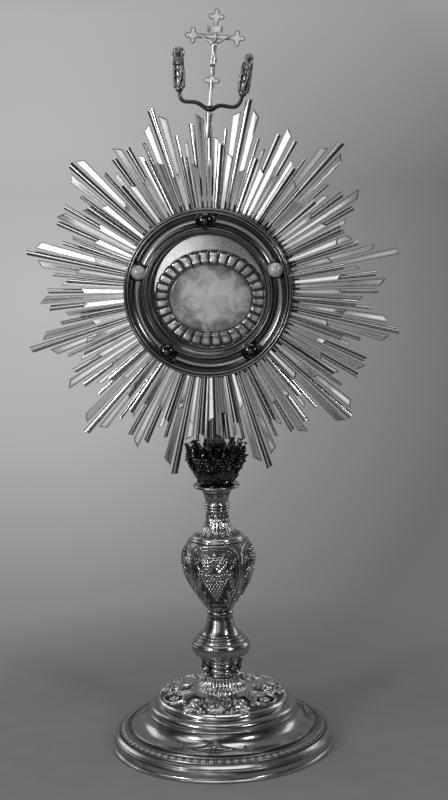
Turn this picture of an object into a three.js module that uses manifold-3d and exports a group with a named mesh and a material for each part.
// Altar monstrance: turned and raised foot, threaded stem, rayed glory with a glazed round case,
// and a plug-in crucifix finial. Millimetres, +Z up, the front faces -Y, the foot stands on z = 0.
import * as THREE from "three";
import { mergeVertices } from "three/addons/utils/BufferGeometryUtils.js";
import Module from "manifold-3d";

const wasm = await Module();
wasm.setup();

// Clearances and sheet
const gap = 0.3;
const sheetWall = 1.2;

// Foot: widths run inwards from the outer edge, rises run upwards
const footRadius = 93.8;
const footFlange = 5.2;
const rimWidth = 6.9;
const rimHeight = 12.1;
const rimBead = 0.9;
const ledgeWidth = 3.4;
const friezeRun = 7.2;
const friezeRise = 3.6;
const skirtLip = 2.9;
const skirtRun = 13.7;
const skirtFillet = 1.3;
const skirtRise = 11.4;
const stepRun = 6.0;
const stepRise = 8.2;
const stepShelf = 1.5;
const domeCrown = 9.4;
const domeRise = 21.2;

// Stem: radii and heights of each turned piece, from the foot upwards
const neckRadius = 12.3;
const collarRadius = 13.6;
const collarHeight = 13.2;
const collarLeafReach = 3.4;
const collarLeafWidth = 7.2;
const collarLeaves = 10;
const knopRadius = 24.4;
const knopHeight = 21.4;
const bellFootRadius = 16.2;
const bellTopRadius = 10.3;
const bellHeight = 14.2;
const beadRadius = 11.0;
const beadHeight = 8.4;
const vaseFootRadius = 11.8;
const vaseRadius = 29.1;
const vaseShoulder = 41.0;
const vaseMouthRadius = 22.8;
const vaseHeight = 57.2;
const spoolFootRadius = 18.3;
const spoolWaistRadius = 8.8;
const spoolBeadRadius = 10.4;
const spoolHeight = 42.4;
const spoolStep = 4.9;
const flangeRadius = 19.1;
const flangeHeight = 4.4;
const cupRadius = 12.6;
const cupHeight = 29.0;
const cupSocketDepth = 13.0;
const wreathRadius = 20.6;
const wreathHeight = 24.0;
const leafReach = 26.2;
const leafLength = 17.0;
const leafWidth = 11.2;
const leafTilt = THREE.MathUtils.degToRad(14);
const wreathLeaves = 11;
const grapeRadius = 3.1;
const grapesPerRow = 9;
const grapeRowRise = 4.6;

// Tie rod that clamps the stem
const rodRadius = 3.0;
const nutAcrossCorners = 11.0;
const nutHeight = 5.0;
const washerRadius = 8.0;
const washerHeight = 1.6;
const rodTail = 3.0;

// Glory: its centre's rise above the wreath cup, and the rays as radii from that centre
const gloryRise = 128.7;
const rayBandWidth = 6.6;
const rayPlate = 1.2;
const rayRise = 1.6;
const sectorCount = 12;
const rayPitch = THREE.MathUtils.degToRad(3);
const rayTurn = THREE.MathUtils.degToRad(-2);
const rayRootWidth = 2.7;
const tallTip = 155;
const mediumTip = 141;
const shortTip = 118;
const shortTipDrop = 7;
const shortPitch = THREE.MathUtils.degToRad(4.35);
const rayVariation = 3;
const ringWidth = 12.7;
const ringThickness = 3.0;
const tangWidth = 14;
const tangThickness = 3.5;
const tangSocketRadius = 7.0;
const tangSocketHeight = 18;

// Case: radii from the glory's centre, depths along Y with the front negative
const caseRadius = 59.0;
const caseWall = 2.2;
const caseDepthBack = 13.0;
const caseFlangeFront = -18.2;
const caseFlangeThickness = 1.7;
const caseShoulder = 2.3;
const caseShoulderDepth = -11.3;
const windowInset = 13.4;
const bezelOverhang = 8.3;
const bezelInset = 8.4;
const bezelCrest = 7.5;
const bezelChannelDepth = 4.4;
const bezelBead = 1.7;
const bezelSkirt = 6.5;
const glassThickness = 1.6;
const glassInset = 9.0;
const stoneCircleInset = 1.8;
const darkStoneRadius = 6.7;
const paleStoneRadius = 5.9;
const stoneHeight = 4.6;
const colletWall = 0.8;
const colletHeight = 3.4;
const stoneCount = 5;

// Medallion inside the case
const backingThickness = 1.5;
const medallionShift = { x: 1, z: -5 };
const frameHalfWidth = 45.2;
const frameHalfHeight = 39.0;
const plaqueHalfWidth = 33.0;
const plaqueHalfHeight = 27.0;
const frameFlutes = 32;
const frameRelief = 4.2;
const plaqueThickness = 2.0;
const capsuleDepth = 8.0;
const springWire = 1.4;
const springOpening = THREE.MathUtils.degToRad(24);

// Rear door, hinge and catch
const rearOpeningInset = 11.0;
const rearFrameThickness = 2.0;
const doorInset = 8.6;
const doorThickness = 1.8;
const doorBead = 0.9;
const hingeInset = 4.0;
const hingePinRadius = 0.9;
const knuckleWall = 1.2;
const doorKnuckleLength = 9.0;
const frameKnuckleLength = 5.0;
const catchInset = 4.0;
const catchReach = 9.0;
const catchWidth = 4.6;
const catchThickness = 1.3;
const catchBossRadius = 2.6;
const catchScrewRadius = 1.1;
const catchScrewHeadRadius = 2.2;
const catchScrewHeadHeight = 1.1;

// Finial: its sleeve starts a drop inside the medium ray tips, and lengths run up its leaning axis
const finialDrop = 20;
const finialOffset = 1.5;
const finialForward = -5.6;
const finialLean = THREE.MathUtils.degToRad(6);
const sleeveLength = 20.6;
const sleeveTopRadius = 2.9;
const sleeveFootRadius = 2.3;
const tangRodRadius = 1.5;
const tangRodLength = 17;
const branchRadius = 1.7;
const branchReach = 25.0;
const branchRise = 14.4;
const figureHeight = 33;
const figureRadius = 4.7;
const figureHeadRadius = 3.0;
const hoodRadius = 4.6;
const figureLean = THREE.MathUtils.degToRad(6);
const postRadius = 2.0;
const hubHeight = 4.0;
const lowerTrefoilHeight = 45.0;
const crossbarHeight = 78.5;
const crossbarHalfSpan = 23.8;
const finialHeight = 100.3;
const crossThickness = 2.6;
const crossArmWidth = 3.4;
const titulusWidth = 12.6;
const titulusHeight = 4.4;
const budRadius = 2.3;
const trefoilSpread = 4.1;
const corpusTorso = 11.6;
const corpusLegs = 14.0;
const corpusReach = 12.0;
const corpusHeadRadius = 1.75;
const bracketPlateWidth = 24;
const bracketPlateHeight = 15;
const bracketPlateGap = 4.0;
const bracketStrapWidth = 4.0;

// Facets
const footSides = 32;
const stemSides = 16;
const vaseSides = 20;
const caseSides = 32;
const smallSides = 8;
const colletSides = 12;
const curveSteps = 4;
const domeSteps = 3;
const budCorners = 5;

// Radii that follow the case's, and the finial bracket's plate just outside the mounting ring
const rayRoot = caseRadius + 2 * gap;
const windowRadius = caseRadius - windowInset;
const bezelRadius = caseRadius + bezelOverhang;
const bezelInnerRadius = caseRadius - bezelInset;
const glassRadius = caseRadius - glassInset;
const stoneCircleRadius = caseRadius - stoneCircleInset;
const rearOpeningRadius = caseRadius - rearOpeningInset;
const doorRadius = caseRadius - doorInset;
const hingeOffset = caseRadius - hingeInset;
const catchOffset = caseRadius - catchInset;
const bracketPlateRise = caseRadius + gap + ringWidth + bracketPlateGap;

const silver = { metalness: 0.95, roughness: 0.25 };
const polishedMetal = new THREE.MeshStandardMaterial({ color: 0xc9c9c9, ...silver });
const satinMetal = new THREE.MeshStandardMaterial({ color: 0xa6a6a6, metalness: 0.9, roughness: 0.45 });
const darkMetal = new THREE.MeshStandardMaterial({ color: 0x3a3a3a, metalness: 0.8, roughness: 0.5 });
const clearGlass = new THREE.MeshStandardMaterial({ color: 0xe8eef0, metalness: 0, roughness: 0.05 });
const darkStone = new THREE.MeshStandardMaterial({ color: 0x101012, metalness: 0, roughness: 0.1 });
const paleStone = new THREE.MeshStandardMaterial({ color: 0xb9bbbd, metalness: 0, roughness: 0.2 });
const enamel = new THREE.MeshStandardMaterial({ color: 0x9a9a96, metalness: 0, roughness: 0.35 });

const point = (x, y) => new THREE.Vector2(x, y);
const indices = (count) => Array.from({ length: count }, (_, i) => i);

// Solids in and out of the boolean library
function toSolid(geometry) {
  const bare = new THREE.BufferGeometry();
  bare.setAttribute("position", geometry.getAttribute("position").clone());
  if (geometry.index) {
    bare.setIndex(geometry.index.clone());
  }
  const merged = mergeVertices(bare, 1e-4);
  const corners = merged.index.array;
  const triangles = [];
  for (let i = 0; i < corners.length; i += 3) {
    const [a, b, c] = corners.slice(i, i + 3);
    if (a !== b && b !== c && a !== c) {
      triangles.push(a, b, c);
    }
  }
  const mesh = new wasm.Mesh({
    numProp: 3,
    vertProperties: merged.getAttribute("position").array,
    triVerts: new Uint32Array(triangles),
  });
  return new wasm.Manifold(mesh);
}

function toGeometry(solid) {
  const mesh = solid.getMesh();
  const geometry = new THREE.BufferGeometry();
  geometry.setAttribute("position", new THREE.BufferAttribute(mesh.vertProperties, 3));
  geometry.setIndex(new THREE.BufferAttribute(mesh.triVerts, 1));
  return geometry;
}

function join(geometries) {
  const solids = geometries.map(toSolid);
  return toGeometry(solids.reduce((all, next) => all.add(next)));
}

function cut(geometry, tools) {
  return toGeometry(tools.map(toSolid).reduce((all, tool) => all.subtract(tool), toSolid(geometry)));
}

// Forms
function turned(profile, sides = stemSides) {
  return new THREE.LatheGeometry(profile, sides).rotateX(Math.PI / 2);
}

// A turning about the depth axis, its profile given as radius and depth
function spun(profile, sides = caseSides) {
  return new THREE.LatheGeometry(profile, sides);
}

function closed(profile) {
  return [...profile, profile[0].clone()];
}

// A sheet section: the outline on the outer face and the same line moved in by the thickness
function sheet(outline, thickness) {
  const inner = outline.map((corner, i) => {
    const before = outline[Math.max(i - 1, 0)];
    const after = outline[Math.min(i + 1, outline.length - 1)];
    const arrive = corner.clone().sub(i === 0 ? corner : before).normalize();
    const leave = (i === outline.length - 1 ? arrive.clone() : after.clone().sub(corner)).normalize();
    const first = i === 0 ? leave : arrive;
    const normals = [first, leave].map((d) => point(-d.y, d.x));
    const bisector = normals[0].clone().add(normals[1]).normalize();
    return corner.clone().addScaledVector(bisector, thickness / bisector.dot(normals[1]));
  });
  return closed([...outline, ...inner.reverse()]);
}

function bezier(start, startPull, endPull, end, steps = curveSteps) {
  return new THREE.CubicBezierCurve(start, startPull, endPull, end).getPoints(steps);
}

// A flat outline in X and Z, given thickness from its back face at y = back towards the front
function slab(outline, thickness, back = 0) {
  const shape = outline instanceof THREE.Shape ? outline : new THREE.Shape(outline);
  const geometry = new THREE.ExtrudeGeometry(shape, {
    depth: thickness,
    bevelEnabled: false,
    curveSegments: smallSides,
  });
  return geometry.rotateX(Math.PI / 2).translate(0, back, 0);
}

function rod(radius, length, sides = smallSides, topRadius = radius) {
  return new THREE.CylinderGeometry(topRadius, radius, length, sides)
    .rotateX(Math.PI / 2)
    .translate(0, 0, length / 2);
}

// A peg along Y between two depths
function peg(radius, front, back, sides = smallSides) {
  return new THREE.CylinderGeometry(radius, radius, back - front, sides)
    .translate(0, (front + back) / 2, 0);
}

function box(x0, x1, y0, y1, z0, z1) {
  return new THREE.BoxGeometry(x1 - x0, y1 - y0, z1 - z0)
    .translate((x0 + x1) / 2, (y0 + y1) / 2, (z0 + z1) / 2);
}

// Rings of equally many corners, joined into one closed skin with flat ends
function loft(rings) {
  const count = rings[0].length;
  const positions = rings.flat().flatMap((corner) => corner.toArray());
  const faces = [];
  for (let r = 0; r < rings.length - 1; r += 1) {
    for (let c = 0; c < count; c += 1) {
      const next = (c + 1) % count;
      const [a, b] = [r * count + c, r * count + next];
      faces.push(a, b, b + count, a, b + count, a + count);
    }
  }
  const last = (rings.length - 1) * count;
  for (let c = 1; c < count - 1; c += 1) {
    faces.push(0, c + 1, c, last, last + c, last + c + 1);
  }
  const geometry = new THREE.BufferGeometry();
  geometry.setAttribute("position", new THREE.Float32BufferAttribute(positions, 3));
  geometry.setIndex(faces);
  return geometry;
}

function part(name, geometry, material) {
  const mesh = new THREE.Mesh(geometry, material);
  mesh.name = name;
  return mesh;
}

// Foot radii and levels, worked inwards and upwards from the outer edge
const friezeRadius = footRadius - rimWidth;
const friezeInnerRadius = friezeRadius - friezeRun;
const skirtRadius = friezeInnerRadius - skirtLip;
const stepRadius = skirtRadius - skirtFillet - skirtRun;
const domeRadius = stepRadius - stepRun - stepShelf;
const friezeBase = rimHeight + gap;
const skirtBase = friezeBase + friezeRise + gap;
const stepBase = skirtBase + skirtRise + gap;
const domeBase = stepBase + stepRise + gap;
const collarBase = domeBase + domeRise + gap;
const boreRadius = rodRadius + gap;

function baseRim() {
  const wallRadius = footRadius - 2.8;
  const beadRadiusOuter = friezeRadius + 3.2;
  const profile = closed([
    point(footRadius - footFlange, 0),
    point(footRadius, 0),
    point(footRadius, 0.9),
    point(wallRadius, 3.2),
    point(wallRadius - 0.5, rimHeight - 3.6),
    point(beadRadiusOuter, rimHeight - 2.2),
    point(beadRadiusOuter - rimBead, rimHeight - 1.6),
    point(friezeRadius + 1.3, rimHeight + 0.4),
    point(friezeRadius, rimHeight),
    point(friezeRadius - ledgeWidth, rimHeight),
    point(friezeRadius - ledgeWidth, rimHeight - sheetWall),
    point(wallRadius - 2.4, rimHeight - 3.4),
  ]);
  return part("base_rim", turned(profile, footSides), polishedMetal);
}

function friezeBand() {
  const outer = friezeRadius - gap;
  const outline = [
    point(outer, 0),
    point(outer, 0.9),
    point(friezeInnerRadius, friezeRise),
    point(friezeInnerRadius - skirtLip - ledgeWidth, friezeRise),
  ];
  const mesh = part("frieze_band", turned(sheet(outline, sheetWall), footSides), satinMetal);
  mesh.position.z = friezeBase;
  return mesh;
}

function footSkirt() {
  const cavettoTop = stepRadius;
  const lipHeight = sheetWall + 0.1;
  const cavettoRise = skirtRise - lipHeight;
  const cavetto = [];
  for (let i = 0; i <= curveSteps; i += 1) {
    const turn = (i / curveSteps) * (Math.PI / 2);
    cavetto.push(point(
      cavettoTop + skirtRun * (1 - Math.sin(turn)),
      lipHeight + cavettoRise * (1 - Math.cos(turn)),
    ));
  }
  const outline = [
    point(skirtRadius, 0),
    point(skirtRadius, lipHeight - 0.2),
    ...cavetto,
    point(cavettoTop - ledgeWidth, skirtRise),
  ];
  const mesh = part("foot_skirt", turned(sheet(outline, sheetWall), footSides), polishedMetal);
  mesh.position.z = skirtBase;
  return mesh;
}

function footStep() {
  const outline = [point(stepRadius - 0.2, 0), point(stepRadius + 0.3, 1.0)];
  for (let i = 1; i < curveSteps; i += 1) {
    const turn = (i / (curveSteps - 1)) * (Math.PI / 2);
    outline.push(point(
      stepRadius - stepRun + stepRun * Math.cos(turn),
      1.4 + (stepRise - 1.4) * Math.sin(turn),
    ));
  }
  outline.push(point(domeRadius - ledgeWidth, stepRise));
  const mesh = part("foot_step", turned(sheet(outline, sheetWall), footSides), polishedMetal);
  mesh.position.z = stepBase;
  return mesh;
}

function footDome() {
  const shoulder = bezier(
    point(domeRadius, 0),
    point(domeRadius, domeCrown * 0.55),
    point(domeRadius * 0.86, domeCrown * 0.7),
    point(domeRadius * 0.62, domeCrown * 0.78),
    3,
  );
  const sweep = bezier(
    point(domeRadius * 0.62, domeCrown * 0.78),
    point(domeRadius * 0.4, domeCrown * 0.9),
    point(neckRadius + 1.4, domeCrown * 1.05),
    point(neckRadius, domeRise),
    4,
  );
  const foot = [point(domeRadius, 0), point(domeRadius, 0.8)];
  const outline = [...foot, ...shoulder.slice(1), ...sweep.slice(1), point(boreRadius, domeRise)];
  const mesh = part("foot_dome", turned(sheet(outline, sheetWall), footSides), satinMetal);
  mesh.position.z = domeBase;
  return mesh;
}

// Stem levels
const knopBase = collarBase + collarHeight + gap;
const bellBase = knopBase + knopHeight + gap;
const beadBase = bellBase + bellHeight + gap;
const vaseBase = beadBase + beadHeight + gap;
const spoolBase = vaseBase + vaseHeight + gap;
const flangeBase = spoolBase + spoolHeight + gap;
const cupBase = flangeBase + flangeHeight + gap;
const wreathBase = cupBase + 1.2;
const tangSocketBase = cupBase + cupHeight - cupSocketDepth + gap;
const gloryHeight = cupBase + cupHeight + gloryRise;
const finialFootHeight = gloryHeight + mediumTip - finialDrop;

// A bored turning from an outline that runs upwards
function boredTurning(name, outline, base, material, sides = stemSides) {
  const top = outline[outline.length - 1].y;
  const bottom = outline[0].y;
  const profile = closed([point(boreRadius, bottom), ...outline, point(boreRadius, top)]);
  const mesh = part(name, turned(profile, sides), material);
  mesh.position.z = base;
  return mesh;
}

function leafCollar() {
  const core = closed([
    point(boreRadius, 0),
    point(neckRadius, 0),
    point(collarRadius, 1.6),
    point(collarRadius - 0.8, collarHeight * 0.6),
    point(collarRadius + 0.6, collarHeight),
    point(boreRadius, collarHeight),
  ]);
  const leaves = [];
  for (let i = 0; i < collarLeaves; i += 1) {
    const leaf = new THREE.ConeGeometry(collarLeafWidth / 2, collarHeight * 0.62, 4)
      .rotateX(Math.PI / 2)
      .scale(1, 0.5, 1)
      .rotateX(THREE.MathUtils.degToRad(32))
      .translate(0, -(collarRadius + collarLeafReach - collarLeafWidth / 2), collarHeight * 0.42)
      .rotateZ((i / collarLeaves) * 2 * Math.PI);
    leaves.push(leaf);
  }
  const mesh = part("leaf_collar", join([turned(core), ...leaves]), darkMetal);
  mesh.position.z = collarBase;
  return mesh;
}

function lowerKnop() {
  const outline = [
    point(collarRadius + 0.9, 0),
    point(collarRadius + 0.9, 1.6),
    point(knopRadius - 3.0, 5.0),
    point(knopRadius - 0.4, 8.6),
    point(knopRadius, 14.0),
    point(knopRadius - 2.0, 17.0),
    point(knopRadius - 5.0, 18.6),
    point(knopRadius - 5.8, knopHeight),
  ];
  return boredTurning("lower_knop", outline, knopBase, polishedMetal);
}

function stemBell() {
  const outline = bezier(
    point(bellFootRadius, 0),
    point(bellFootRadius - 3.4, 3.0),
    point(bellTopRadius + 1.8, bellHeight * 0.6),
    point(bellTopRadius, bellHeight),
  );
  return boredTurning("stem_bell", outline, bellBase, polishedMetal);
}

function stemBead() {
  const waist = beadRadius - 1.2;
  const outline = [
    point(waist, 0),
    point(waist, 1.2),
    point(beadRadius, 2.0),
    point(beadRadius, beadHeight - 2.6),
    point(waist, beadHeight - 1.6),
    point(beadRadius + 0.4, beadHeight),
  ];
  return boredTurning("stem_bead", outline, beadBase, polishedMetal);
}

function vaseKnop() {
  const belly = bezier(
    point(vaseFootRadius, 0),
    point(vaseFootRadius + 9.6, vaseShoulder * 0.38),
    point(vaseRadius, vaseShoulder * 0.66),
    point(vaseRadius, vaseShoulder),
    6,
  );
  const shoulder = bezier(
    point(vaseRadius, vaseShoulder),
    point(vaseRadius, vaseShoulder + 8.0),
    point(vaseMouthRadius + 4.0, vaseHeight - 2.6),
    point(vaseMouthRadius, vaseHeight),
  );
  return boredTurning("vase_knop", [...belly, ...shoulder.slice(1)], vaseBase, satinMetal, vaseSides);
}

function neckSpool() {
  const beadLevel = spoolHeight * 0.58;
  const beads = [0, 1, 2].flatMap((i) => [
    point(spoolBeadRadius, beadLevel + i * 2.2),
    point(spoolBeadRadius - 0.9, beadLevel + i * 2.2 + 1.1),
  ]);
  const outline = [
    point(vaseMouthRadius - 0.4, 0),
    point(vaseMouthRadius - 0.4, 1.4),
    point(vaseMouthRadius - 2.7, spoolStep - 0.6),
    ...bezier(
      point(spoolFootRadius, spoolStep),
      point(spoolFootRadius - 6.2, spoolStep + 3.2),
      point(spoolWaistRadius, spoolStep + 7.0),
      point(spoolWaistRadius, spoolStep + 13.0),
    ),
    ...beads,
    point(spoolWaistRadius + 0.3, spoolHeight - 7.5),
    point(spoolBeadRadius, spoolHeight - 2.4),
    point(flangeRadius - 5.2, spoolHeight),
  ];
  return boredTurning("neck_spool", outline, spoolBase, satinMetal);
}

function dripFlange() {
  const outline = [
    point(flangeRadius - 5.0, 0),
    point(flangeRadius - 1.0, 1.2),
    point(flangeRadius, 2.4),
    point(flangeRadius - 0.6, flangeHeight - 0.6),
    point(flangeRadius - 2.6, flangeHeight),
  ];
  return boredTurning("drip_flange", outline, flangeBase, polishedMetal, vaseSides);
}

function wreathCup() {
  const socketFloor = cupHeight - cupSocketDepth;
  const profile = closed([
    point(boreRadius, 0),
    point(cupRadius - 3.0, 0),
    point(cupRadius, 4.0),
    point(cupRadius, cupHeight),
    point(tangSocketRadius + gap, cupHeight),
    point(tangSocketRadius + gap, socketFloor),
    point(boreRadius, socketFloor),
  ]);
  const mesh = part("wreath_cup", turned(profile), darkMetal);
  mesh.position.z = cupBase;
  return mesh;
}

// Vine wreath: a ring carrying rows of grapes below and leaves whose tips stand out and up
function vineWreath() {
  const inner = cupRadius + gap;
  const ring = closed([
    point(inner, wreathHeight * 0.07),
    point(wreathRadius * 0.68, wreathHeight * 0.07),
    point(wreathRadius * 0.93, wreathHeight * 0.33),
    point(wreathRadius, wreathHeight * 0.62),
    point(wreathRadius * 0.95, wreathHeight),
    point(inner, wreathHeight),
  ]);
  const firstRow = wreathHeight * 0.31;
  const grapesTop = firstRow + grapeRowRise + grapeRadius;
  const pieces = [turned(ring)];
  for (let row = 0; row < 2; row += 1) {
    for (let i = 0; i < grapesPerRow; i += 1) {
      const turn = ((i + row / 2) / grapesPerRow) * 2 * Math.PI;
      pieces.push(
        new THREE.IcosahedronGeometry(grapeRadius, 0)
          .translate(0, -wreathRadius * (0.91 + row * 0.11), firstRow + row * grapeRowRise)
          .rotateZ(turn),
      );
    }
  }
  for (let i = 0; i < wreathLeaves; i += 1) {
    const turn = (i / wreathLeaves) * 2 * Math.PI;
    const leaf = new THREE.ConeGeometry(leafWidth / 2, leafLength, 4)
      .rotateX(Math.PI / 2)
      .scale(1, 0.34, 1)
      .rotateX(leafTilt)
      .translate(0, -(leafReach - 4.4), grapesTop + gap + leafLength / 2)
      .rotateZ(turn);
    pieces.push(leaf);
  }
  const mesh = part("vine_wreath", join(pieces), darkMetal);
  mesh.position.z = wreathBase;
  return mesh;
}

// Tie rod, its nut and washer under the dome's crown
const crownUnderside = domeBase + domeRise - sheetWall;
const washerBase = crownUnderside - gap - washerHeight;
const nutBase = washerBase - gap - nutHeight;

function tieRod() {
  const bottom = nutBase - rodTail;
  const top = tangSocketBase + tangSocketHeight - 4;
  const mesh = part("tie_rod", rod(rodRadius, top - bottom), satinMetal);
  mesh.position.z = bottom;
  return mesh;
}

function tieNut() {
  const hexagon = rod(nutAcrossCorners / 2, nutHeight, 6);
  const bore = rod(boreRadius, nutHeight + 2).translate(0, 0, -1);
  const mesh = part("tie_nut", cut(hexagon, [bore]), satinMetal);
  mesh.position.z = nutBase;
  return mesh;
}

function tieWasher() {
  const profile = closed([
    point(boreRadius, 0),
    point(washerRadius, 0),
    point(washerRadius, washerHeight),
    point(boreRadius, washerHeight),
  ]);
  const mesh = part("tie_washer", turned(profile), satinMetal);
  mesh.position.z = washerBase;
  return mesh;
}

// A round-backed bar that widens outwards
function ribRay(root, tip, rootWidth, tipWidth, back, rise) {
  const section = (along, width, height) => [
    new THREE.Vector3(-width / 2, back, along),
    new THREE.Vector3(-width / 4, back - height, along),
    new THREE.Vector3(width / 4, back - height, along),
    new THREE.Vector3(width / 2, back, along),
  ];
  return loft([
    section(root, rootWidth, rayPlate + rise * 0.6),
    section(tip, tipWidth, rayPlate + rise),
  ]);
}

// A flat blade with a hollowed, oblique end; a positive slant leaves its left edge the longer
function bladeRay(root, tip, rootWidth, tipWidth, back, slant) {
  const drop = Math.abs(slant);
  const left = slant > 0 ? tip : tip - drop;
  const right = slant > 0 ? tip - drop : tip;
  return slab([
    point(-rootWidth / 2, root),
    point(rootWidth / 2, root),
    point(tipWidth / 2, right),
    point(-Math.sign(slant) * tipWidth * 0.1, tip - drop * 0.78),
    point(-tipWidth / 2, left),
  ], rayPlate, back);
}

function arcBand(inner, outer, halfAngle, thickness, back) {
  const shape = new THREE.Shape();
  const middle = Math.PI / 2;
  const steps = 4;
  for (let i = 0; i <= steps; i += 1) {
    const turn = middle - halfAngle + (2 * halfAngle * i) / steps;
    shape[i === 0 ? "moveTo" : "lineTo"](outer * Math.cos(turn), outer * Math.sin(turn));
  }
  for (let i = steps; i >= 0; i -= 1) {
    const turn = middle - halfAngle + (2 * halfAngle * i) / steps;
    shape.lineTo(inner * Math.cos(turn), inner * Math.sin(turn));
  }
  return slab(shape, thickness, back);
}

// Five rays from the middle one outwards: kind, share of the tip radius, tip width and slant
const tallBundle = [
  { offset: -2, kind: "rib", share: 0.84, width: 2.8 },
  { offset: -1, kind: "blade", share: 0.93, width: 6.2, slant: -4.2 },
  { offset: 0, kind: "rib", share: 1.0, width: 5.4 },
  { offset: 1, kind: "blade", share: 0.955, width: 6.4, slant: 5.0 },
  { offset: 2, kind: "rib", share: 0.82, width: 3.0 },
];
const mediumBundle = [
  { offset: -2, kind: "blade", share: 0.86, width: 3.6, slant: -3.0 },
  { offset: -1, kind: "rib", share: 0.95, width: 4.6 },
  { offset: 0, kind: "blade", share: 1.0, width: 6.4, slant: 5.4 },
  { offset: 1, kind: "rib", share: 0.955, width: 4.2 },
  { offset: 2, kind: "blade", share: 0.87, width: 3.8, slant: 3.4 },
];
// The tall bundle that climbs to one side, its longest strip outermost
const leaningSector = 2;
const leaningBundle = [
  { offset: -2, kind: "rib", share: 0.76, width: 2.8 },
  { offset: -1, kind: "blade", share: 0.8, width: 5.2, slant: -4.2 },
  { offset: 0, kind: "rib", share: 0.79, width: 4.0 },
  { offset: 1, kind: "blade", share: 0.9, width: 4.8, slant: 4.0 },
  { offset: 2, kind: "blade", share: 0.99, width: 5.6, slant: -1.6 },
];
const shortBundle = [
  { offset: -1, kind: "blade", share: 0.9, width: 5.2, slant: -3.4 },
  { offset: 0, kind: "rib", share: 1.0, width: 5.0 },
  { offset: 1, kind: "blade", share: 0.94, width: 5.2, slant: 3.8 },
];

function buildRay(ray, root, tip, back, turn) {
  const make = ray.kind === "rib" ? ribRay : bladeRay;
  const shaping = ray.kind === "rib" ? rayRise : ray.slant;
  return make(root, tip, rayRootWidth, ray.width, back, shaping).rotateY(turn);
}

// A ray over the wreath stops short of it
function clearOfWreath(tip, heading) {
  const top = Math.max(
    wreathBase + wreathHeight + leafLength / 2 + 1.2,
    tangSocketBase + tangSocketHeight,
  ) + 2 * gap;
  const overWreath = Math.cos(heading) < 0 && Math.abs(tip * Math.sin(heading)) < leafReach + 2;
  return overWreath ? Math.min(tip, (gloryHeight - top) / -Math.cos(heading)) : tip;
}

// One twelfth of the rear layer: a band of sheet carrying a medium and a tall bundle
function raySector(index) {
  const sectorAngle = (2 * Math.PI) / sectorCount;
  const heading = index * sectorAngle + rayTurn;
  const back = rayPlate;
  const bandMiddle = sectorAngle / 4;
  const halfAngle = sectorAngle / 2 - gap / rayRoot;
  const pieces = [
    arcBand(rayRoot, rayRoot + rayBandWidth, halfAngle, rayPlate, back).rotateY(bandMiddle),
  ];
  const bundles = [
    { rays: mediumBundle, tip: mediumTip, turn: 0 },
    {
      rays: index === leaningSector ? leaningBundle : tallBundle,
      tip: tallTip,
      turn: sectorAngle / 2,
    },
  ];
  for (const bundle of bundles) {
    for (const ray of bundle.rays) {
      const turn = bundle.turn + ray.offset * rayPitch;
      const change = rayVariation * Math.sin((index * (1 + Math.abs(ray.offset)) * Math.PI) / 3);
      const tip = clearOfWreath(bundle.tip * ray.share + change, heading + turn);
      pieces.push(buildRay(ray, rayRoot + rayBandWidth - 0.6, tip, back, turn));
    }
  }
  const number = String(index + 1).padStart(2, "0");
  const mesh = part(`ray_sector_${number}`, join(pieces), polishedMetal);
  mesh.rotation.y = heading;
  return mesh;
}

// The short front rays, one pierced plate, standing clear of the ribs behind
function frontRays() {
  const groups = sectorCount * 2;
  const back = -rayRise - gap;
  const bandInner = rayRoot;
  const bandOuter = rayRoot + rayBandWidth - 1.2;
  const band = spun(closed([
    point(bandInner, back - rayPlate),
    point(bandOuter, back - rayPlate),
    point(bandOuter, -gap),
    point(bandInner, -gap),
  ]));
  const pieces = [band];
  for (let g = 0; g < groups; g += 1) {
    const length = g % 2 === 0 ? shortTip : shortTip - shortTipDrop;
    for (const ray of shortBundle) {
      const turn = ((g + 0.5) / groups) * 2 * Math.PI + rayTurn + ray.offset * shortPitch;
      const change = rayVariation * 0.6 * Math.sin((g * (2 + ray.offset) * Math.PI) / 6);
      const tip = clearOfWreath(length * ray.share + change, turn);
      pieces.push(buildRay(ray, bandOuter - 1, tip, back, turn));
    }
  }
  return part("front_rays", join(pieces), polishedMetal);
}

const ringFront = rayPlate + gap;

function mountRing() {
  const inner = caseRadius + gap;
  const profile = closed([
    point(inner, ringFront),
    point(inner + ringWidth, ringFront),
    point(inner + ringWidth, ringFront + ringThickness),
    point(inner, ringFront + ringThickness),
  ]);
  return part("ray_mount_ring", spun(profile), satinMetal);
}

// The tang: a socket on the stem's axis and a flat bar behind the rays up to the mounting ring
function headTang() {
  const barBack = ringFront + ringThickness + gap + tangThickness;
  const barTop = gloryHeight - caseRadius - 1.2;
  const socket = rod(tangSocketRadius, tangSocketHeight, stemSides).translate(0, 0, tangSocketBase);
  const foot = box(
    -tangWidth / 2, tangWidth / 2, 0, barBack,
    cupBase + cupHeight + gap, tangSocketBase + tangSocketHeight,
  );
  const bar = box(
    -tangWidth / 2, tangWidth / 2, barBack - tangThickness, barBack,
    cupBase + cupHeight + gap, barTop,
  );
  const bore = rod(boreRadius, tangSocketHeight - 3).translate(0, 0, tangSocketBase - 0.5);
  return part("head_tang", cut(join([socket, foot, bar]), [bore]), satinMetal);
}

// Case depths
const flangeBack = caseFlangeFront + caseFlangeThickness;
const glassBack = caseFlangeFront - gap;
const glassFront = glassBack - glassThickness;
const bezelBack = caseFlangeFront - gap;
const bezelFront = bezelBack - bezelCrest;
const caseInnerRadius = caseRadius - caseWall;
const backingFront = caseShoulderDepth + gap;
const backingBack = backingFront + backingThickness;

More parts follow.
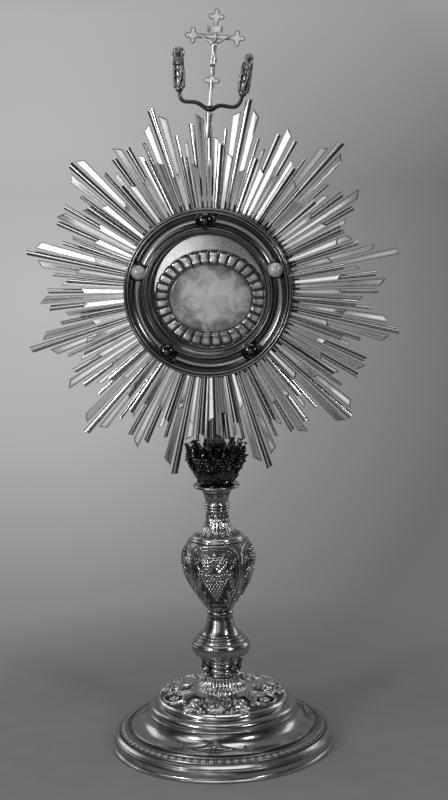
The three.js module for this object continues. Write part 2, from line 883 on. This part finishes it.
function lunaCase() {
  const profile = closed([
    point(windowRadius + 1, caseFlangeFront),
    point(caseRadius, caseFlangeFront),
    point(caseRadius, caseDepthBack),
    point(caseInnerRadius, caseDepthBack),
    point(caseInnerRadius, caseShoulderDepth),
    point(caseInnerRadius - caseShoulder, caseShoulderDepth),
    point(caseInnerRadius - caseShoulder, flangeBack),
    point(windowRadius + 1, flangeBack),
  ]);
  return part("luna_case", spun(profile), satinMetal);
}

// The bezel's hollow channel between its rims, with a collet standing in it for each stone
function bezelRing() {
  const outerRim = bezelRadius - 2 * bezelBead;
  const innerRim = bezelInnerRadius + 1.0;
  const channelFront = bezelFront + 0.9;
  const channel = [];
  for (let i = 0; i <= curveSteps; i += 1) {
    const share = i / curveSteps;
    channel.push(point(
      innerRim + (outerRim - innerRim) * share,
      channelFront + bezelChannelDepth * Math.sin(share * Math.PI) ** 0.7,
    ));
  }
  const skirtInner = caseRadius + gap;
  const profile = closed([
    point(bezelInnerRadius, bezelBack),
    point(bezelInnerRadius, bezelFront + 0.5),
    ...channel,
    point(outerRim + bezelBead / 2, bezelFront),
    point(outerRim + bezelBead, bezelFront + 0.8),
    point(bezelRadius - bezelBead / 3, bezelFront + 0.5),
    point(bezelRadius, bezelFront + 1.6),
    point(bezelRadius, bezelBack + bezelSkirt),
    point(skirtInner, bezelBack + bezelSkirt),
    point(skirtInner, bezelBack),
  ]);
  const collets = [];
  const seats = [];
  for (let i = 0; i < stoneCount; i += 1) {
    const radius = stoneRadius(i);
    const place = (geometry) => geometry
      .translate(0, 0, stoneCircleRadius)
      .rotateY((i / stoneCount) * 2 * Math.PI);
    collets.push(place(peg(radius + colletWall + gap, colletFront, bezelBack - 1.2, colletSides)));
    seats.push(place(peg(radius + gap, colletFront - 5, stoneSeat, colletSides)));
  }
  const bore = peg(bezelInnerRadius + 0.2, colletFront - 1, bezelBack + 1, caseSides);
  const trimmed = cut(join(collets), [bore]);
  return part("bezel_ring", cut(join([spun(profile), trimmed]), seats), polishedMetal);
}

const isDarkStone = (index) => index === 0 || index === 2 || index === 3;
const stoneRadius = (index) => (isDarkStone(index) ? darkStoneRadius : paleStoneRadius);
const stoneSeat = bezelFront + bezelChannelDepth - 0.6;
const colletFront = stoneSeat - colletHeight;

function stone(index) {
  const radius = stoneRadius(index);
  const base = stoneSeat - gap;
  const girdle = base - 1.8;
  const dome = [];
  for (let i = 0; i <= domeSteps; i += 1) {
    const turn = (i / domeSteps) * (Math.PI / 2);
    dome.push(point(radius * Math.sin(turn), girdle - stoneHeight * Math.cos(turn)));
  }
  const geometry = spun([...dome, point(radius, base), point(0, base)], colletSides)
    .translate(0, 0, stoneCircleRadius);
  const mesh = part(`stone_${index + 1}`, geometry, isDarkStone(index) ? darkStone : paleStone);
  mesh.rotation.y = (index / stoneCount) * 2 * Math.PI;
  return mesh;
}

function glassRetainer() {
  const outer = bezelInnerRadius - gap;
  const profile = closed([
    point(windowRadius, glassFront - gap),
    point(windowRadius, glassFront - gap - 0.8),
    point(outer - 0.6, bezelFront + 0.6),
    point(outer, bezelFront + 1.0),
    point(outer, glassFront - gap),
  ]);
  return part("glass_retainer", spun(profile), polishedMetal);
}

function frontGlass() {
  const profile = [
    point(0, glassFront),
    point(glassRadius, glassFront),
    point(glassRadius, glassBack),
    point(0, glassBack),
  ];
  return part("front_glass", spun(profile), clearGlass);
}

function backingDisc() {
  const radius = caseInnerRadius - gap;
  const profile = [
    point(0, backingFront),
    point(radius, backingFront),
    point(radius, backingBack),
    point(0, backingBack),
  ];
  return part("backing_disc", spun(profile), polishedMetal);
}

// Oval frame of radial flutes: ridges on even steps, valleys on odd ones
function medallionFrame() {
  const steps = frameFlutes * 2;
  const back = backingFront - gap;
  const innerWidth = plaqueHalfWidth + gap;
  const innerHeight = plaqueHalfHeight + gap;
  const rows = [
    { share: 0, height: 1.2, ridge: 0 },
    { share: 0.5, height: frameRelief, ridge: 1.4 },
    { share: 1, height: 1.0, ridge: 0.4 },
  ];
  const corner = (share, turn, depth) => new THREE.Vector3(
    THREE.MathUtils.lerp(innerWidth, frameHalfWidth, share) * Math.sin(turn),
    depth,
    THREE.MathUtils.lerp(innerHeight, frameHalfHeight, share) * Math.cos(turn),
  );
  const rings = [];
  for (let s = 0; s < steps; s += 1) {
    const turn = (s / steps) * 2 * Math.PI;
    const valley = s % 2;
    rings.push([
      corner(0, turn, back),
      ...rows.map((row) => corner(row.share, turn, back - row.height + valley * row.ridge)),
      corner(1, turn, back),
    ]);
  }
  const count = rings[0].length;
  const faces = [];
  for (let s = 0; s < steps; s += 1) {
    for (let c = 0; c < count; c += 1) {
      const [a, b] = [s * count + c, s * count + ((c + 1) % count)];
      const [d, e] = [((s + 1) % steps) * count + c, ((s + 1) % steps) * count + ((c + 1) % count)];
      faces.push(a, e, b, a, d, e);
    }
  }
  const geometry = new THREE.BufferGeometry();
  const positions = rings.flat().flatMap((vertex) => vertex.toArray());
  geometry.setAttribute("position", new THREE.Float32BufferAttribute(positions, 3));
  geometry.setIndex(faces);
  const mesh = part("medallion_frame", geometry, polishedMetal);
  mesh.position.set(medallionShift.x, 0, medallionShift.z);
  return mesh;
}

function oval(name, halfWidth, halfHeight, profile, material) {
  const geometry = spun(profile, 24).scale(halfWidth, 1, halfHeight);
  const mesh = part(name, geometry, material);
  mesh.position.set(medallionShift.x, 0, medallionShift.z);
  return mesh;
}

function medallionPlaque() {
  const back = backingFront - gap;
  const profile = [
    point(0, back - plaqueThickness - 0.8),
    point(0.6, back - plaqueThickness - 0.4),
    point(1, back - plaqueThickness + 0.6),
    point(1, back),
    point(0, back),
  ];
  return oval("medallion_plaque", plaqueHalfWidth, plaqueHalfHeight, profile, enamel);
}

function relicCapsule() {
  const front = backingBack + gap;
  const back = front + capsuleDepth;
  const profile = [
    point(0, front),
    point(1, front),
    point(1, back - 0.8),
    point(0.95, back),
    point(0, back),
  ];
  return oval("relic_capsule", plaqueHalfWidth - 2, plaqueHalfHeight - 2, profile, satinMetal);
}

// A sprung wire that holds the backing disc against the case's shoulder
function springRing() {
  const middle = caseInnerRadius - gap - springWire / 2;
  const shape = new THREE.Shape();
  const steps = 24;
  const start = -Math.PI / 2 + springOpening / 2;
  const sweep = 2 * Math.PI - springOpening;
  for (let i = 0; i <= steps; i += 1) {
    const turn = start + (sweep * i) / steps;
    const radius = middle + springWire / 2;
    shape[i === 0 ? "moveTo" : "lineTo"](radius * Math.cos(turn), radius * Math.sin(turn));
  }
  for (let i = steps; i >= 0; i -= 1) {
    const turn = start + (sweep * i) / steps;
    const radius = middle - springWire / 2;
    shape.lineTo(radius * Math.cos(turn), radius * Math.sin(turn));
  }
  return part("spring_ring", slab(shape, springWire, backingBack + gap + springWire), satinMetal);
}

// Rear opening
const frameFront = caseDepthBack + gap;
const frameBack = frameFront + rearFrameThickness;
const doorFront = frameBack + gap;
const doorBack = doorFront + doorThickness;
const knuckleRadius = hingePinRadius + gap + knuckleWall;
const hingeDepth = doorBack + 0.6;

function knuckle(length, middle) {
  return rod(knuckleRadius, length).translate(hingeOffset, hingeDepth, middle - length / 2);
}

function pinBore() {
  const length = 2 * (doorKnuckleLength + 2 * frameKnuckleLength);
  return rod(hingePinRadius + gap, length).translate(hingeOffset, hingeDepth, -length / 2);
}

const frameKnuckleMiddle = doorKnuckleLength / 2 + gap + frameKnuckleLength / 2;

function rearFrame() {
  const outer = caseRadius;
  const ring = spun(closed([
    point(rearOpeningRadius, frameFront),
    point(outer, frameFront),
    point(outer, frameBack),
    point(rearOpeningRadius, frameBack),
  ]));
  const pieces = [ring];
  for (const side of [-1, 1]) {
    const middle = side * frameKnuckleMiddle;
    pieces.push(knuckle(frameKnuckleLength, middle));
    pieces.push(box(
      hingeOffset - knuckleRadius, hingeOffset + knuckleRadius,
      frameFront + 0.2, hingeDepth,
      middle - frameKnuckleLength / 2, middle + frameKnuckleLength / 2,
    ));
  }
  const boss = peg(catchBossRadius, frameFront + 0.2, doorBack + gap).translate(-catchOffset, 0, 0);
  const screwBore = peg(catchScrewRadius + gap, frameFront - 1, doorBack + 1)
    .translate(-catchOffset, 0, 0);
  return part("rear_frame", cut(join([...pieces, boss]), [pinBore(), screwBore]), satinMetal);
}

function rearDoor() {
  const disc = spun([
    point(0, doorFront),
    point(doorRadius, doorFront),
    point(doorRadius, doorBack),
    point(doorRadius - 1.6, doorBack + doorBead),
    point(doorRadius - 4.0, doorBack),
    point(0, doorBack),
  ]);
  const leaf = box(
    doorRadius - 4, hingeOffset, doorFront, doorBack + 0.3,
    -doorKnuckleLength / 2, doorKnuckleLength / 2,
  );
  const barrel = knuckle(doorKnuckleLength, 0);
  return part("rear_door", cut(join([disc, leaf, barrel]), [pinBore()]), satinMetal);
}

function hingePin() {
  const length = doorKnuckleLength + 2 * (gap + frameKnuckleLength) + 1.6;
  const geometry = rod(hingePinRadius, length).translate(hingeOffset, hingeDepth, -length / 2);
  const head = rod(hingePinRadius + 0.8, 1).translate(hingeOffset, hingeDepth, length / 2);
  return part("hinge_pin", join([geometry, head]), satinMetal);
}

// The catch hangs off the door's edge at rest and turns in over it
const catchFront = doorBack + 2 * gap + doorBead;

function doorCatch() {
  const collar = peg(catchBossRadius, doorBack + 2 * gap, catchFront + catchThickness);
  const lever = box(
    -catchWidth / 2, catchWidth / 2, catchFront, catchFront + catchThickness, -catchReach, 0,
  );
  const nose = peg(catchWidth / 2, catchFront, catchFront + catchThickness).translate(0, 0, -catchReach);
  const bore = peg(catchScrewRadius + gap, frameBack, catchFront + 4);
  const mesh = part("door_catch", cut(join([collar, lever, nose]), [bore]), polishedMetal);
  mesh.position.x = -catchOffset;
  return mesh;
}

function catchScrew() {
  const headFront = catchFront + catchThickness + gap;
  const shank = peg(catchScrewRadius, frameFront + gap, headFront + 0.4);
  const head = peg(catchScrewHeadRadius, headFront, headFront + catchScrewHeadHeight);
  const mesh = part("catch_screw", join([shank, head]), satinMetal);
  mesh.position.x = -catchOffset;
  return mesh;
}

// Finial, in its own leaning frame with z = 0 at the lower end of the sleeve
function toFinialFrame(geometry) {
  return geometry
    .translate(-finialOffset, -finialForward, -finialFootHeight)
    .rotateY(-finialLean);
}

// The sleeve in front of the rays, hooked over a ray's tip to a strap and plate behind them
function finialSocket() {
  const bore = tangRodRadius + gap;
  const sleeve = rod(sleeveFootRadius, sleeveLength, 16, sleeveTopRadius);
  const strapBack = ringFront + sheetWall;
  const ribTip = gloryHeight + mediumTip * mediumBundle[3].share;
  const hookBottom = ribTip + 1.0;
  const hookTop = finialFootHeight + sleeveLength - 1.2;
  const strapMiddle = finialOffset + 1.4;
  const [left, right] = [strapMiddle - bracketStrapWidth / 2, strapMiddle + bracketStrapWidth / 2];
  const plateBottom = gloryHeight + bracketPlateRise;
  const bracket = [
    box(left, right, finialForward, strapBack, hookBottom, hookTop),
    box(left, right, ringFront, strapBack, plateBottom, hookTop),
    box(
      -bracketPlateWidth / 2, bracketPlateWidth / 2, ringFront, strapBack,
      plateBottom, plateBottom + bracketPlateHeight,
    ),
  ];
  const pieces = [sleeve, ...bracket.map(toFinialFrame)];
  const hole = rod(bore, sleeveLength + 2).translate(0, 0, -1);
  return part("finial_socket", cut(join(pieces), [hole]), polishedMetal);
}

// The outline of a budded arm end that points up from the origin, from its right side to its left
function trefoilOutline() {
  const arm = crossArmWidth / 2;
  const quarter = Math.PI / 2;
  const bud = (x, z, from) => indices(budCorners).map((i) => {
    const turn = from + (3 * quarter * i) / (budCorners - 1);
    return point(x + budRadius * Math.cos(turn), z + budRadius * Math.sin(turn));
  });
  return [
    point(arm, -arm - 1),
    ...bud(trefoilSpread, 0, -quarter * 1.5),
    ...bud(0, trefoilSpread, -quarter * 0.5),
    ...bud(-trefoilSpread, 0, quarter * 0.5),
    point(-arm, -arm - 1),
  ];
}

function crucifix() {
  const arm = crossArmWidth / 2;
  const seat = sleeveLength + gap;
  const topCentre = finialHeight - budRadius - trefoilSpread;
  const sideCentre = crossbarHalfSpan - budRadius - trefoilSpread;
  const end = (x, z, turn) => trefoilOutline()
    .map((corner) => corner.rotateAround(point(0, 0), turn).add(point(x, z)));
  const cross = slab([
    ...end(0, lowerTrefoilHeight, Math.PI),
    point(arm, crossbarHeight - arm),
    ...end(sideCentre, crossbarHeight, -Math.PI / 2),
    point(arm, crossbarHeight + arm),
    ...end(0, topCentre, 0),
    point(-arm, crossbarHeight + arm),
    ...end(-sideCentre, crossbarHeight, Math.PI / 2),
    point(-arm, crossbarHeight - arm),
  ], crossThickness, crossThickness / 2);
  const tang = rod(tangRodRadius, tangRodLength + 1).translate(0, 0, seat - tangRodLength);
  const post = rod(postRadius, lowerTrefoilHeight - seat, smallSides, postRadius - 0.5)
    .translate(0, 0, seat);
  return part("crucifix", join([cross, tang, post]), polishedMetal);
}

// A limb between two points, as a tapering round bar
function limb(from, to, startRadius, endRadius, sides = 6) {
  const start = new THREE.Vector3(...from);
  const way = new THREE.Vector3(...to).sub(start);
  const turn = new THREE.Quaternion().setFromUnitVectors(
    new THREE.Vector3(0, 1, 0), way.clone().normalize(),
  );
  const length = way.length();
  return new THREE.CylinderGeometry(endRadius, startRadius, length, sides)
    .translate(0, length / 2, 0)
    .applyQuaternion(turn)
    .translate(...start.toArray());
}

function corpus() {
  const back = -crossThickness / 2 - gap;
  const depth = back - 2.6;
  const shoulder = crossbarHeight - 4.4;
  const hip = shoulder - corpusTorso;
  const feet = hip - corpusLegs;
  const pieces = [
    limb([0, depth, hip - 1], [0, depth, shoulder + 0.6], 2.2, 2.5, 8),
    limb([0, depth, hip - 3.6], [0, depth, hip + 1.6], 1.75, 2.7, 8),
    limb([0.6, depth, hip - 2], [0.2, depth, feet], 1.6, 0.9),
    limb([-0.6, depth, hip - 2], [-0.2, depth, feet], 1.6, 0.9),
    limb([0, depth, shoulder], [0, depth - 0.2, shoulder + 3.2], 1.0, 0.8),
    new THREE.SphereGeometry(corpusHeadRadius, 8, 6).translate(0, depth - 0.2, shoulder + 3.2),
  ];
  for (const side of [-1, 1]) {
    pieces.push(limb(
      [side * 1.6, depth, shoulder], [side * corpusReach, back - 0.9, crossbarHeight + 0.4], 1.15, 0.8,
    ));
  }
  return part("corpus", join(pieces), polishedMetal);
}

// The bare scroll plate above the crossbar
function titulusPlate() {
  const back = -crossThickness / 2 - gap;
  const middle = crossbarHeight + 5.6;
  return part("titulus_plate", box(
    -titulusWidth / 2, titulusWidth / 2, back - 1, back,
    middle - titulusHeight / 2, middle + titulusHeight / 2,
  ), polishedMetal);
}

// Two S-shaped branches from a hub ring on the post, the left one arching higher than the right.
// Each way point is a share of the reach and of the rise.
const branchPaths = [
  { side: -1, way: [[0.3, 0.16], [0.5, 0.35], [0.78, 0.37], [0.96, 0.6]] },
  { side: 1, way: [[0.22, 0.22], [0.4, 0.3], [0.72, 0.14], [0.95, 0.34]] },
];

function branchPair() {
  const seat = sleeveLength + gap;
  const hubRadius = postRadius + gap + 1.2;
  const hub = turned(closed([
    point(postRadius + gap, 0),
    point(hubRadius, 0),
    point(hubRadius, hubHeight),
    point(postRadius + gap, hubHeight),
  ]), smallSides).translate(0, 0, seat + gap);
  const section = new THREE.Shape().absarc(0, 0, branchRadius, 0, 2 * Math.PI);
  const pieces = [hub];
  for (const { side, way } of branchPaths) {
    const root = seat + gap + hubHeight / 2;
    const rise = seat + branchRise - root;
    const path = new THREE.CatmullRomCurve3([
      new THREE.Vector3(side * (hubRadius - 0.6), 0, root),
      ...way.map(([out, up]) => new THREE.Vector3(side * branchReach * out, 0, root + rise * up)),
      new THREE.Vector3(side * branchReach, 0, root + rise),
    ]);
    pieces.push(new THREE.ExtrudeGeometry(section, {
      steps: 12,
      curveSegments: 3,
      extrudePath: path,
    }));
  }
  return part("branch_pair", join(pieces), darkMetal);
}

// A small draped standing figure on a round plinth
function figure(name, side, hooded) {
  const head = figureHeight - 4.6;
  const drape = turned([
    point(0, 0),
    point(figureRadius - 0.5, 0),
    point(figureRadius - 0.5, 1.6),
    point(figureRadius - 1.1, 2.2),
    point(figureRadius - 0.1, figureHeight * 0.3),
    point(figureRadius, figureHeight * 0.52),
    point(figureRadius - 0.3, figureHeight * 0.7),
    point(2.0, figureHeight * 0.77),
    point(0, figureHeight * 0.78),
  ], smallSides);
  const pieces = [drape, new THREE.SphereGeometry(figureHeadRadius, 8, 6).translate(0, -0.4, head)];
  if (hooded) {
    pieces.push(new THREE.SphereGeometry(hoodRadius, 8, 6).scale(1, 0.55, 1).translate(0, 1.2, head));
  }
  const mesh = part(name, join(pieces), darkMetal);
  mesh.position.set(side * branchReach, 0, sleeveLength + gap + branchRise + 2 * gap);
  mesh.rotation.y = side * figureLean;
  return mesh;
}

function group(parts, height = 0) {
  const holder = new THREE.Group();
  holder.add(...parts);
  holder.position.z = height;
  return holder;
}

const foot = group([baseRim(), friezeBand(), footSkirt(), footStep(), footDome(), tieNut(), tieWasher()]);
const stem = group([
  leafCollar(), lowerKnop(), stemBell(), stemBead(), vaseKnop(), neckSpool(), dripFlange(),
  wreathCup(), vineWreath(), tieRod(), headTang(),
]);
const glory = group([
  mountRing(),
  ...indices(sectorCount).map(raySector),
  frontRays(),
], gloryHeight);
const windowCase = group([
  lunaCase(), bezelRing(), glassRetainer(), frontGlass(),
  ...indices(stoneCount).map(stone),
  backingDisc(), medallionFrame(), medallionPlaque(), relicCapsule(), springRing(),
  rearFrame(), rearDoor(), hingePin(), doorCatch(), catchScrew(),
], gloryHeight);
const finial = group([
  finialSocket(), crucifix(), corpus(), titulusPlate(), branchPair(),
  figure("figure_left", -1, true), figure("figure_right", 1, false),
]);
finial.position.set(finialOffset, finialForward, finialFootHeight);
finial.rotation.y = finialLean;

export default group([foot, stem, glory, windowCase, finial]);
